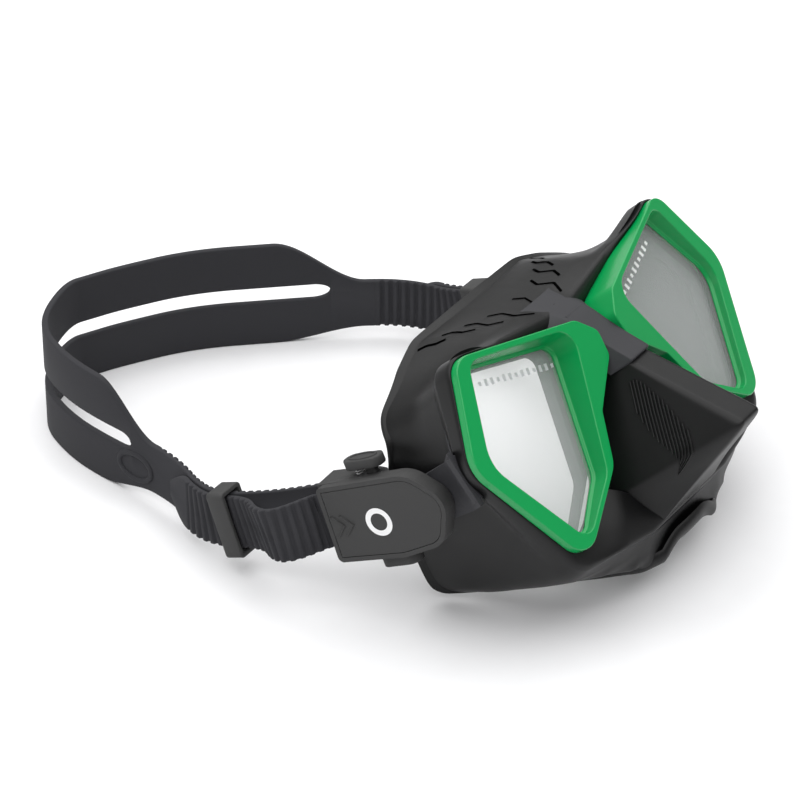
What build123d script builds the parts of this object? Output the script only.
"""Diving mask: two glass lenses in a spectacle frame, soft skirt with a nose pocket, split head
strap and a swivelling push-button buckle on each side.

Millimetres, +Z up.  The mask faces -Y and lies back on its cheek corners; the strap loop stands
on its lower edge behind it, towards +Y.  X = 0 is the mask's plane of symmetry, and the wearer's
right side is -X.  Paired pieces are drawn on the right side and mirrored.
"""
import os
from math import cos, radians, sin, tan

from build123d import *

os.makedirs("parts", exist_ok=True)

# ---------------------------------------------------------------- mask front
RECLINE = 40.0                 # how far the front plane leans back from upright, degrees
FRONT_Y, FRONT_Z = -67.7, 79.9   # where the front plane's origin stands in the row frame
LENS_WRAP = 2.2                # each lens turns back towards its temple, degrees
LENS_PIVOT = 20.0              # distance from the middle where the lens meets the front plane

GLASS = 3.2                    # lens thickness
SEAT = 2.3                     # lens edge hidden under the bezel
SEAT_GAP = 0.1                 # clearance round and under the lens
RING_DEPTH = 4.7               # thickness of the frame's lens rings
RING_INSET = 2.5               # the ring's edge inside the bezel's edge
BEZEL_RISE = 11.0              # bezel height above the glass at the nose
BEZEL_FALL_X = -0.123          # change of that height per millimetre outwards
BEZEL_FALL_V = 0.057           # and per millimetre upwards
BEZEL_DRAFT = 16.0             # slope of the bezel's inner wall, degrees

# Outlines on the front plane: distance from the middle, height, corner radius.
WINDOW = [(18.5, 0.5, 4), (58.8, 12.5, 3), (72.5, -16, 12), (53.5, -54, 4), (34.5, -41, 6)]
BEZEL = [(12.1, 3.8, 5), (64.5, 18.5, 7), (80.5, -14, 13), (58.5, -61, 8), (29, -42, 9),
         (21.5, -25.5, 3), (6.5, -12.5, 3), (5.5, -3.5, 4)]

# ---------------------------------------------------------------- skirt
WALL = 3.0                     # skirt wall
FLANGE = 2.6                   # thickness of the sealing flange
FLANGE_WIDTH = 9.0             # how far the sealing flange reaches in from the wall
FRONT_WALL = -11.0             # back of the skirt's front wall, along the front plane's normal
# Depth, then half the outline from the forehead round to the lip.
SKIRT_SECTIONS = [
    (-2.0, [(8, 8.5), (30, 12), (44, 15), (65, 19.5), (76.5, -12), (61.5, -64.5), (24, -69)]),
    (-10.0, [(8, 14), (30, 15.8), (43, 14), (65, 15), (75, -13), (61.5, -63), (23, -80)]),
    (-22.0, [(8, 19.5), (30, 20.6), (43, 16), (63, 10.5), (73.5, -14), (61.5, -61.3), (23, -76)]),
    (-42.0, [(8, 28), (34, 26), (46, 22), (65, 12), (68.5, -17), (61, -57), (23.5, -68)]),
    (-72.0, [(8, 34), (36, 28), (50, 24), (72, 5), (61.5, -22), (60, -50), (24, -54)]),
]
# The face that the skirt seals on: height, depth of its foremost point, half width, depth.
FACE_SECTIONS = [(46, -36, 84, 26), (25, -36, 84, 26), (4, -22, 84, 44), (-51, -6, 66, 98),
                 (-95, -6, 56, 98)]
# Nose pocket: height, depth of the ridge, half width there, half width at the base.
NOSE_SECTIONS = [(2, 1, 3.5, 5), (-17.3, 14.6, 4.4, 12.5), (-51.5, 41, 4.6, 23), (-68, 1.6, 5, 20)]
NOSE_BASE = -12.0              # depth where the pocket opens into the skirt
NOSE_WALL = 2.6

# ---------------------------------------------------------------- frame bridge and side arms
BRIDGE_HALF = 5.0              # half width of the bridge between the bezels
BRIDGE_FOOT_HALF = 16.0        # half width of its foot behind the bezels
BRIDGE_TOP, BRIDGE_LOW = 5.0, -17.0
BRIDGE_SKIN = 3.0              # bridge thickness over the nose pocket
BRIDGE_CREST = (-4.0, 7.0)     # height and depth of the bend in its upper face
BRIDGE_BEND = (-3.0, 1.0)      # and of the bend in its lower face
BRIDGE_RISE = 15.6             # depth of its lower end
ARM_TOP, ARM_LOW = -5.0, -25.0  # the side arm's root on the front plane
ARM_OUT = 80.2                 # outer face of the arm at its root
ARM_THICK = 2.2
ARM_KNEE = -13.5               # depth where the arm has come in flat under the buckle
ROOT_REACH = 20.2              # how far the arm's root block reaches in over the lens ring
ROOT_SHORT = 4.0               # and how much shorter it is than the arm
ROOT_BACK, ROOT_SKIN = 0.8, 2.6  # its back from the ring's back, and the ring left over it

# ---------------------------------------------------------------- buckles
BUCKLE = (-77.0, -50.9, 44.7)  # middle of the right buckle, on the axis line of its roller's plane
BUCKLE_PITCH = 25.0            # buckle nose up, degrees
BUCKLE_YAW = 3.0               # buckle nose turned inwards, degrees
SWIVEL_FORE = 5.0              # swivel axis ahead of the buckle's middle
SWIVEL_PIN_R = 2.0
SWIVEL_HEAD_R, SWIVEL_HEAD = 3.4, 0.9
RUN_GAP = 0.05                 # radial running clearance of pins and trunnions
ARM_END_R = 8.0                # round end of the side arm
ARM_FACE = -0.8                # outer face of the arm's end, outwards from the buckle's middle
BOSS_R, BOSS_TOP = 4.5, 2.3    # boss on the arm that the buckle turns on
FLANGE_IN, FLANGE_OUT = 11.0, 13.5   # inner and outer faces of the buckle's side flanges
BUCKLE_WALL_IN, BUCKLE_WALL_OUT = 2.9, 5.6   # inner and outer faces of the buckle's outer wall
RIM_IN, RIM_THICK = -0.4, 1.6  # inner edge and thickness of the rim round the buckle
COVER_THICK = 1.8
COVER_FIT = 0.15
# Outline of the buckle seen from its outer side: forwards, up, corner radius.
BUCKLE_OUTLINE = [(-29, 13.3, 2), (8, 13.9, 12), (20, 3, 8), (12.5, -12, 9), (-4, -14.6, 14),
                  (-31, -13.6, 2)]
COVER_INSET = 1.6
# Side flange outline: backwards, outwards.
FLANGE_OUTLINE = [(2, 2.7), (2, -0.5), (5, -3.8), (9, -5.8), (14, -7.2), (30, -8.0), (30, 2.7)]

ROLLER_BACK, ROLLER_IN = 15.0, -3.5   # roller axis behind and inside the hinge axis
ROLLER_R = 3.0
TRUNNION_R = 1.2
TRUNNION_LENGTH = 1.6
SIDE_GAP = 0.3                 # end clearance of what turns between the flanges
PAWL_BACK, PAWL_OUT = 5.6, 0.0
PAWL_PIN_R = 1.0
PAWL_R = 2.1
PAWL_TOOTH = (9.0, -2.4)
BUTTON_LENGTH, BUTTON_WIDTH, BUTTON_HEIGHT = 15.0, 7.0, 3.4
BUTTON_BACK, BUTTON_IN = 11.5, -2.2
BUTTON_LIFT = 2.4              # gap under the button at rest
STEM_LENGTH, STEM_WIDTH = 4.0, 2.0
STEM_BACK, STEM_OUT = 9.5, -1.8
STEM_GAP = 0.15
SPRING_BACK = 14.6
SPRING_R, SPRING_WIRE_R, SPRING_TURNS = 1.4, 0.2, 4
SPRING_WELL = 1.6              # depth of the well in the button

# ---------------------------------------------------------------- strap and keepers
STRAP_THICK = 2.6
STRAP_END = 19.0               # strap width at the buckles
STRAP_BACK = 41.0              # width of the split part behind the head
STRAP_LIFT = 4.6               # the narrow ends' lower edge above the floor
STRAP_GAP = 0.3                # clearance to what it runs round and through
SPLIT_Y = 71.0                 # where the slit begins
SLIT = 6.0
SLIT_Z = 20.5
# Plan of the strap's single run from the right keeper round the head to the left one.
LOOP = [(-78.5, 1), (-78.5, 28), (-65, 51), (-61.5, 80), (-55.7, 103), (-43, 124), (-16, 132.8),
        (3, 123.5), (27, 108.5), (47.8, 84.5), (70.2, 58.5), (77.8, 43), (78.5, 28), (78.5, 1)]
# The free tail swings out behind the buckle, comes in through the keeper and ends beside the loop.
TAIL_RIGHT = [(-91.5, -11), (-90, -3), (-81.4, 6), (-81.4, 28), (-70, 48)]
TAIL_LEFT = [(91.5, -11), (90, -3), (81.4, 6), (81.4, 28), (80.2, 47)]
MOUTH = 27.0                   # where the strap leaves the buckle, behind its middle
TAIL_LEAD = 10.0                # the tail stays straight this far past the buckle
LEVEL_Y = 26.0                 # where the narrow end has come down level
KEEPER_Y = 16.5
KEEPER_LENGTH = 7.0
KEEPER_WALL = 1.6
KEEPER_SLACK = 2.0             # room round the two runs of strap

# ---------------------------------------------------------------- planes
tilt = radians(RECLINE)
front = Plane(origin=(0, FRONT_Y, FRONT_Z), x_dir=(1, 0, 0), z_dir=(0, -cos(tilt), sin(tilt)))
normal, upward = front.z_dir, front.y_dir


def on_front(x, v, n):
    """Point at x across, v up and n in front of the front plane."""
    return front.origin + Vector(1, 0, 0) * x + upward * v + normal * n


wrap = radians(LENS_WRAP)
lens_plane = Plane(
    origin=on_front(0, 0, LENS_PIVOT * sin(wrap)),
    x_dir=Vector(cos(wrap), 0, 0) + normal * sin(wrap),
    z_dir=normal * cos(wrap) - Vector(sin(wrap), 0, 0),
)

pitch, yaw = radians(BUCKLE_PITCH), radians(BUCKLE_YAW)
middle = Vector(*BUCKLE)
forwards = Vector(sin(yaw), -cos(yaw) * cos(pitch), cos(yaw) * sin(pitch))
buckle_up = Vector(0, sin(pitch), cos(pitch))
buckle = Plane(origin=middle, x_dir=-forwards, z_dir=buckle_up)      # backwards, outwards, up
outward = buckle.y_dir
face = Plane(origin=middle, x_dir=forwards, z_dir=outward)           # forwards, up, outwards


def outline(points, side=-1):
    """Closed, rounded outline from (distance, height, radius) corners, on one side."""
    with BuildLine() as edge:
        FilletPolyline(*[(side * x, y) for x, y, _ in points], radius=[r for _, _, r in points],
                       close=True)
    make_face(edge.edges())


def export(part, name):
    """Label one finished piece and write it as the node of that name."""
    part.label = name
    export_step(part, f"parts/{name}.step")


def export_pair(part, name):
    """Write a piece of the right side and its mirror image for the left."""
    other = mirror(part, about=Plane.YZ)
    export(part, f"{name}_right")
    export(other, f"{name}_left")
    return other


# ---------------------------------------------------------------- lens
with BuildPart() as lens:
    with BuildSketch(lens_plane.offset(-GLASS)):
        outline(WINDOW)
        offset(amount=SEAT, kind=Kind.ARC)
    extrude(amount=GLASS)
lens_left = export_pair(lens.part, "lens")

# ---------------------------------------------------------------- bezel
with BuildPart() as bezel:
    with BuildSketch(lens_plane.offset(-GLASS - SEAT_GAP)):
        outline(BEZEL)
    extrude(amount=2 * BEZEL_RISE)
    with BuildSketch(lens_plane.offset(-GLASS - SEAT_GAP)):
        outline(WINDOW)
        offset(amount=SEAT + SEAT_GAP, kind=Kind.ARC)
    extrude(amount=GLASS + 2 * SEAT_GAP, mode=Mode.SUBTRACT)
    with BuildSketch(lens_plane):
        outline(WINDOW)
    extrude(amount=2 * BEZEL_RISE, taper=-BEZEL_DRAFT, mode=Mode.SUBTRACT)
    top_normal = normal - Vector(1, 0, 0) * -BEZEL_FALL_X - upward * BEZEL_FALL_V
    split(bisect_by=Plane(origin=on_front(-6, -8, BEZEL_RISE), z_dir=top_normal), keep=Keep.BOTTOM)
bezel_left = export_pair(bezel.part, "bezel")

# ---------------------------------------------------------------- frame
with BuildPart() as openings:
    with BuildSketch(lens_plane.offset(FRONT_WALL - 4)):
        outline(WINDOW)
    extrude(amount=4 - FRONT_WALL)
    with BuildSketch(face.offset(ARM_FACE - ARM_THICK - 1)):
        with Locations((SWIVEL_FORE, 0)):
            Circle(SWIVEL_PIN_R + RUN_GAP)
    extrude(amount=BOSS_TOP - ARM_FACE + ARM_THICK + 1)
    mirror(about=Plane.YZ)

swivel = face.from_local_coords((SWIVEL_FORE, 0, 0))
ring_back = -GLASS - 2 * SEAT_GAP - RING_DEPTH
with BuildPart() as frame:
    with BuildSketch(lens_plane.offset(ring_back)):
        outline(BEZEL)
        offset(amount=-RING_INSET, kind=Kind.ARC)
    extrude(amount=RING_DEPTH)
    # Side arm, from the ring's temple edge back to the buckle's swivel.
    with BuildSketch(front.offset(-GLASS - 2)):
        with Locations((-ARM_OUT + ARM_THICK / 2, (ARM_TOP + ARM_LOW) / 2)):
            Rectangle(ARM_THICK, ARM_TOP - ARM_LOW)
    arm_end = face.from_local_coords((SWIVEL_FORE, 0, ARM_FACE - ARM_THICK / 2))
    knee_run = (ARM_KNEE - front.to_local_coords(arm_end).Z) * normal
    knee = arm_end + knee_run + Vector(1, 0, 0) * (knee_run.dot(outward) / -outward.X)
    with BuildSketch(Plane(origin=knee, x_dir=(1, 0, 0), z_dir=normal)):
        Rectangle(ARM_THICK, (ARM_TOP - ARM_LOW + 2 * ARM_END_R) / 2)
    with BuildSketch(Plane(origin=arm_end, x_dir=(1, 0, 0), z_dir=normal)):
        Rectangle(ARM_THICK, 2 * ARM_END_R)
    loft(ruled=True)
    with BuildSketch(front.offset(ring_back + ROOT_BACK)):
        with Locations((ROOT_REACH / 2 - ARM_OUT, (ARM_TOP + ARM_LOW) / 2)):
            Rectangle(ROOT_REACH, ARM_TOP - ARM_LOW - ROOT_SHORT)
    extrude(amount=RING_DEPTH - ROOT_SKIN)
    with BuildSketch(face.offset(ARM_FACE - ARM_THICK)):
        with Locations((SWIVEL_FORE, 0)):
            Circle(ARM_END_R)
    extrude(amount=ARM_THICK)
    with BuildSketch(face.offset(ARM_FACE)):
        with Locations((SWIVEL_FORE, 0)):
            Circle(BOSS_R)
    extrude(amount=BOSS_TOP - ARM_FACE)
    mirror(about=Plane.YZ)
    # Bridge over the nose, with a foot that joins the two rings.
    with BuildSketch(front.offset(ring_back)):
        with Locations((0, BRIDGE_TOP / 2 - 5)):
            Rectangle(2 * BRIDGE_FOOT_HALF, BRIDGE_TOP + 6)
    extrude(amount=RING_DEPTH - 1)
    with BuildSketch(Plane(origin=on_front(-BRIDGE_HALF, 0, 0), x_dir=upward, z_dir=(1, 0, 0))):
        with BuildLine():
            Polyline((BRIDGE_TOP, ring_back), (BRIDGE_TOP, 2), BRIDGE_CREST,
                     (BRIDGE_LOW, BRIDGE_RISE), (BRIDGE_LOW, BRIDGE_RISE - BRIDGE_SKIN),
                     BRIDGE_BEND, (BRIDGE_BEND[0], ring_back), close=True)
        make_face()
    extrude(amount=2 * BRIDGE_HALF)
    # Windows and swivel bores go through everything, and lenses and bezels seat in it.
    for taken in (openings.part, lens.part, lens_left, bezel.part, bezel_left):
        add(taken, mode=Mode.SUBTRACT)
export(frame.part, "frame")


# ---------------------------------------------------------------- skirt
def skirt_sections(inset):
    """The skirt's outlines from front to back, moved inwards by inset."""
    sections = []
    for depth, half in SKIRT_SECTIONS:
        with BuildSketch(front.offset(depth)) as section:
            with BuildLine() as edge:
                Polyline(*half, *[(-x, v) for x, v in reversed(half)], close=True)
            make_face(edge.edges())
            if inset:
                offset(amount=-inset, kind=Kind.INTERSECTION)
        sections.append(section.sketch)
    return sections


def face_sections(grow):
    """Level sections of the wearer's face, grown by the flange's thickness."""
    sections = []
    for v, depth, half, deep in FACE_SECTIONS:
        middle = Plane(origin=on_front(0, v, depth - deep), x_dir=(1, 0, 0), z_dir=upward)
        with BuildSketch(middle) as section:
            Ellipse(half + grow, deep + grow)
        sections.append(section.sketch)
    return sections


def nose_sections(inset):
    """Level sections of the nose pocket, bridge to upper lip, moved inwards by inset."""
    sections = []
    for v, ridge, top, base in NOSE_SECTIONS:
        end = inset if v < NOSE_SECTIONS[-2][0] else -inset if v > 0 else 0
        with BuildSketch(Plane(origin=on_front(0, v + end, 0), x_dir=(1, 0, 0), z_dir=upward)) as section:
            with BuildLine() as edge:
                Polyline((inset - base, -NOSE_BASE), (inset / 3 - top, inset - ridge),
                         (top - inset / 3, inset - ridge), (base - inset, -NOSE_BASE), close=True)
            make_face(edge.edges())
        sections.append(section.sketch)
    return sections


front_half = Plane(origin=on_front(0, 0, FRONT_WALL), z_dir=normal)
with BuildPart() as face_solid:
    loft(face_sections(0), ruled=True)
with BuildPart() as face_grown:
    loft(face_sections(FLANGE), ruled=True)
with BuildPart() as cavity:
    loft(skirt_sections(WALL), ruled=True)
    add(face_grown.part, mode=Mode.SUBTRACT)
    split(bisect_by=front_half, keep=Keep.BOTTOM)
with BuildPart() as mouth:
    loft(skirt_sections(WALL + FLANGE_WIDTH), ruled=True)
    split(bisect_by=front_half, keep=Keep.BOTTOM)
with BuildPart() as nose_cavity:
    loft(nose_sections(NOSE_WALL), ruled=True)
with BuildPart() as skirt:
    loft(skirt_sections(0), ruled=True)
    loft(nose_sections(0), ruled=True)
    for hollow in (face_solid, cavity, mouth, nose_cavity, openings, frame):
        add(hollow.part, mode=Mode.SUBTRACT)
    for right, left in ((bezel.part, bezel_left), (lens.part, lens_left)):
        add(right, mode=Mode.SUBTRACT)
        add(left, mode=Mode.SUBTRACT)
    split(bisect_by=Plane.XY, keep=Keep.TOP)
export(skirt.part, "skirt")

# ---------------------------------------------------------------- buckle housing and cover
with BuildPart() as housing:
    # Outer wall and rim, open behind for the strap, with a shallow recess for the cover.
    with BuildSketch(face.offset(RIM_IN)):
        outline(BUCKLE_OUTLINE, 1)
    extrude(amount=BUCKLE_WALL_OUT - RIM_IN)
    with BuildSketch(face.offset(RIM_IN)):
        outline(BUCKLE_OUTLINE, 1)
        offset(amount=-RIM_THICK, kind=Kind.ARC)
        with Locations((BUCKLE_OUTLINE[0][0], 0)):
            Rectangle(2 * RIM_THICK + 6, 2 * FLANGE_IN)
    extrude(amount=BUCKLE_WALL_IN - RIM_IN, mode=Mode.SUBTRACT)
    with BuildSketch(face.offset(BUCKLE_WALL_OUT - COVER_THICK)):
        outline(BUCKLE_OUTLINE, 1)
        offset(amount=-COVER_INSET, kind=Kind.ARC)
    extrude(amount=COVER_THICK, mode=Mode.SUBTRACT)
    # Side flanges that carry the pawl pin, the roller and the buttons.
    with BuildSketch(buckle.offset(FLANGE_IN), buckle.offset(-FLANGE_OUT)):
        with BuildLine():
            Polyline(*FLANGE_OUTLINE, close=True)
        make_face()
    extrude(amount=FLANGE_OUT - FLANGE_IN)
    with BuildSketch(buckle.offset(-FLANGE_OUT)):
        with Locations((PAWL_BACK, PAWL_OUT)):
            Circle(PAWL_PIN_R)
        with Locations((STEM_BACK, STEM_OUT)):
            Rectangle(STEM_LENGTH + 2 * STEM_GAP, STEM_WIDTH + 2 * STEM_GAP)
    extrude(amount=2 * FLANGE_OUT, mode=Mode.SUBTRACT)
    bearing = FLANGE_IN + TRUNNION_LENGTH + SIDE_GAP
    with BuildSketch(buckle.offset(-bearing)):
        with Locations((ROLLER_BACK, ROLLER_IN)):
            Circle(TRUNNION_R + RUN_GAP)
    extrude(amount=2 * bearing, mode=Mode.SUBTRACT)
    # Seat of the swivel pin in the outer wall.
    with BuildSketch(face.offset(BUCKLE_WALL_IN)):
        with Locations((SWIVEL_FORE, 0)):
            Circle(SWIVEL_PIN_R)
    extrude(amount=BUCKLE_WALL_OUT - COVER_THICK - BUCKLE_WALL_IN, mode=Mode.SUBTRACT)
housing_left = export_pair(housing.part, "buckle_housing")

with BuildPart() as cover:
    with BuildSketch(face.offset(BUCKLE_WALL_OUT - COVER_THICK)):
        outline(BUCKLE_OUTLINE, 1)
        offset(amount=-COVER_INSET - COVER_FIT, kind=Kind.ARC)
    extrude(amount=COVER_THICK)
export_pair(cover.part, "buckle_cover")

# ---------------------------------------------------------------- pins, roller and pawl
with BuildPart() as swivel_pin:
    pin_back = ARM_FACE - ARM_THICK - SIDE_GAP
    with BuildSketch(face.offset(pin_back)):
        with Locations((SWIVEL_FORE, 0)):
            Circle(SWIVEL_PIN_R)
    extrude(amount=BUCKLE_WALL_OUT - COVER_THICK - pin_back)
    with BuildSketch(face.offset(pin_back - SWIVEL_HEAD)):
        with Locations((SWIVEL_FORE, 0)):
            Circle(SWIVEL_HEAD_R)
    extrude(amount=SWIVEL_HEAD)
export_pair(swivel_pin.part, "swivel_pin")

with BuildPart() as pawl_pin:
    with BuildSketch(buckle.offset(-FLANGE_OUT)):
        with Locations((PAWL_BACK, PAWL_OUT)):
            Circle(PAWL_PIN_R)
    extrude(amount=2 * FLANGE_OUT)
export_pair(pawl_pin.part, "pawl_pin")

roller_half = FLANGE_IN - SIDE_GAP
with BuildPart() as roller:
    with BuildSketch(buckle.offset(-roller_half)):
        with Locations((ROLLER_BACK, ROLLER_IN)):
            Circle(ROLLER_R)
    extrude(amount=2 * roller_half)
    with BuildSketch(buckle.offset(-roller_half - TRUNNION_LENGTH)):
        with Locations((ROLLER_BACK, ROLLER_IN)):
            Circle(TRUNNION_R)
    extrude(amount=2 * (roller_half + TRUNNION_LENGTH))
export_pair(roller.part, "strap_roller")

pawl_half = STRAP_END / 2
with BuildPart() as pawl:
    with BuildSketch(buckle.offset(-pawl_half)):
        with Locations((PAWL_BACK, PAWL_OUT)):
            Circle(PAWL_R)
        with BuildLine():
            Polyline((PAWL_BACK + 0.4, PAWL_OUT + PAWL_R - 0.2), PAWL_TOOTH,
                     (PAWL_BACK - 0.8, PAWL_OUT - PAWL_R + 0.2), close=True)
        make_face()
        with Locations((PAWL_BACK, PAWL_OUT)):
            Circle(PAWL_PIN_R + RUN_GAP, mode=Mode.SUBTRACT)
    extrude(amount=2 * pawl_half)
export_pair(pawl.part, "strap_pawl")

# ---------------------------------------------------------------- buttons and their springs
sole = FLANGE_OUT + BUTTON_LIFT
foot = FLANGE_IN - SIDE_GAP
with BuildPart() as button:
    with BuildSketch(buckle.offset(sole)):
        with Locations((BUTTON_BACK, BUTTON_IN)):
            SlotOverall(BUTTON_LENGTH, BUTTON_WIDTH)
    extrude(amount=BUTTON_HEIGHT)
    with BuildSketch(buckle.offset(sole)):
        with Locations((SPRING_BACK, BUTTON_IN)):
            Circle(SPRING_R + SPRING_WIRE_R + SIDE_GAP)
    extrude(amount=SPRING_WELL, mode=Mode.SUBTRACT)
    with BuildSketch(buckle.offset(foot)):
        with Locations((STEM_BACK, STEM_OUT)):
            Rectangle(STEM_LENGTH, STEM_WIDTH)
    extrude(amount=sole - foot)
export_pair(button.part, "top_button")
export_pair(mirror(button.part, about=buckle), "bottom_button")

spring_rise = BUTTON_LIFT + SPRING_WELL - 2 * SPRING_WIRE_R
with BuildPart() as spring:
    with BuildLine() as coil:
        Helix(pitch=spring_rise / SPRING_TURNS, height=spring_rise, radius=SPRING_R)
    with BuildSketch(Plane(origin=coil.line @ 0, z_dir=coil.line % 0)):
        Circle(SPRING_WIRE_R)
    sweep(path=coil.line, is_frenet=True)
spring_seat = buckle.from_local_coords((SPRING_BACK, BUTTON_IN, FLANGE_OUT + SPRING_WIRE_R))
top_spring = spring.part.moved(Plane(spring_seat, x_dir=buckle.x_dir, z_dir=buckle_up).location)
export_pair(top_spring, "top_spring")
export_pair(mirror(top_spring, about=buckle), "bottom_spring")

# ---------------------------------------------------------------- strap
run = ROLLER_R + STRAP_GAP + STRAP_THICK / 2   # middle of the strap from the roller's axis


def bends(points):
    """The largest tangent arc that each corner of a path has room for."""
    places = [Vector(*point) for point in points]
    radii = []
    for before, corner, after in zip(places, places[1:], places[2:]):
        shorter = min((corner - before).length, (after - corner).length)
        turn = radians((corner - before).get_angle(after - corner))
        radii.append(0.45 * shorter / tan(turn / 2))
    return radii


def in_buckle(back, out, side):
    """Point of the strap in the buckle's plane, as plan coordinates on one side."""
    point = buckle.from_local_coords((back, out, 0))
    return (side * -point.X, point.Y)


inner_run = buckle.from_local_coords((MOUTH, ROLLER_IN - run, 0))
strap_top = STRAP_LIFT + STRAP_END
level_z = STRAP_LIFT + STRAP_END / 2
fall = (inner_run.Z - level_z) / (LEVEL_Y - inner_run.Y)     # slope of the strap's narrow ends
half_end = STRAP_END / 2 * (1 + fall ** 2) ** 0.5
lead = 30                                                    # the outline starts inside the buckle
with BuildPart() as silhouette:
    with BuildSketch(Plane.YZ):
        with BuildLine():
            Polyline((inner_run.Y - lead, inner_run.Z + lead * fall + half_end),
                     (LEVEL_Y, level_z + half_end), (LEVEL_Y + 14, strap_top), (SPLIT_Y - 8, strap_top),
                     (SPLIT_Y + 12, STRAP_BACK), (150, STRAP_BACK), (150, 0), (SPLIT_Y + 12, 0),
                     (SPLIT_Y - 8, STRAP_LIFT), (LEVEL_Y + 14, STRAP_LIFT), (LEVEL_Y, level_z - half_end),
                     (inner_run.Y - lead, inner_run.Z + lead * fall - half_end), close=True)
        make_face()
        with BuildLine():
            Polyline((SPLIT_Y, SLIT_Z), (SPLIT_Y + 6, SLIT_Z + SLIT / 2), (160, SLIT_Z + SLIT / 2),
                     (160, SLIT_Z - SLIT / 2), (SPLIT_Y + 6, SLIT_Z - SLIT / 2), close=True)
        make_face(mode=Mode.SUBTRACT)
    extrude(amount=120, both=True)

with BuildPart() as strap:
    # The single run round the back of the head, and the free tail on each side.
    loop = [in_buckle(MOUTH - 2, ROLLER_IN - run, -1), *LOOP,
            in_buckle(MOUTH - 2, ROLLER_IN - run, 1)]
    with BuildSketch():
        with BuildLine():
            FilletPolyline(*loop, radius=bends(loop))
        trace(line_width=STRAP_THICK)
        for side, free_tail in ((-1, TAIL_RIGHT), (1, TAIL_LEFT)):
            tail = [in_buckle(MOUTH - 2, ROLLER_IN + run, side),
                    in_buckle(MOUTH + TAIL_LEAD, ROLLER_IN + run, side), *free_tail]
            with BuildLine():
                FilletPolyline(*tail, radius=bends(tail))
            trace(line_width=STRAP_THICK)
    extrude(amount=60)
    add(silhouette.part, mode=Mode.INTERSECT)
    # The turn round each roller.
    for plane, mirrored in ((buckle, False), (buckle, True)):
        with BuildSketch(plane.offset(-STRAP_END / 2)):
            with BuildLine():
                far = (MOUTH, ROLLER_IN + run)
                near = (MOUTH, ROLLER_IN - run)
                Line(far, (ROLLER_BACK, ROLLER_IN + run))
                RadiusArc((ROLLER_BACK, ROLLER_IN + run), (ROLLER_BACK, ROLLER_IN - run), -run)
                Line((ROLLER_BACK, ROLLER_IN - run), near)
            trace(line_width=STRAP_THICK)
        turn = extrude(amount=STRAP_END, mode=Mode.PRIVATE)
        add(mirror(turn, about=Plane.YZ, mode=Mode.PRIVATE) if mirrored else turn)
export(strap.part, "strap")


# ---------------------------------------------------------------- keepers
keeper_z = level_z + (LEVEL_Y - KEEPER_Y) * fall
inner_x, tail_x = -LOOP[1][0], -TAIL_RIGHT[3][0]
keeper_plane = Plane(origin=(-(inner_x + tail_x) / 2, KEEPER_Y, keeper_z), x_dir=(1, 0, 0),
                     z_dir=Vector(0, 1, -fall))
with BuildPart() as keeper:
    with BuildSketch(keeper_plane.offset(-KEEPER_LENGTH / 2)):
        wide, high = tail_x - inner_x + STRAP_THICK + KEEPER_SLACK, STRAP_END + KEEPER_SLACK
        RectangleRounded(wide + 2 * KEEPER_WALL, high + 2 * KEEPER_WALL, KEEPER_WALL)
        Rectangle(wide, high, mode=Mode.SUBTRACT)
    extrude(amount=KEEPER_LENGTH)
export_pair(keeper.part, "strap_keeper")
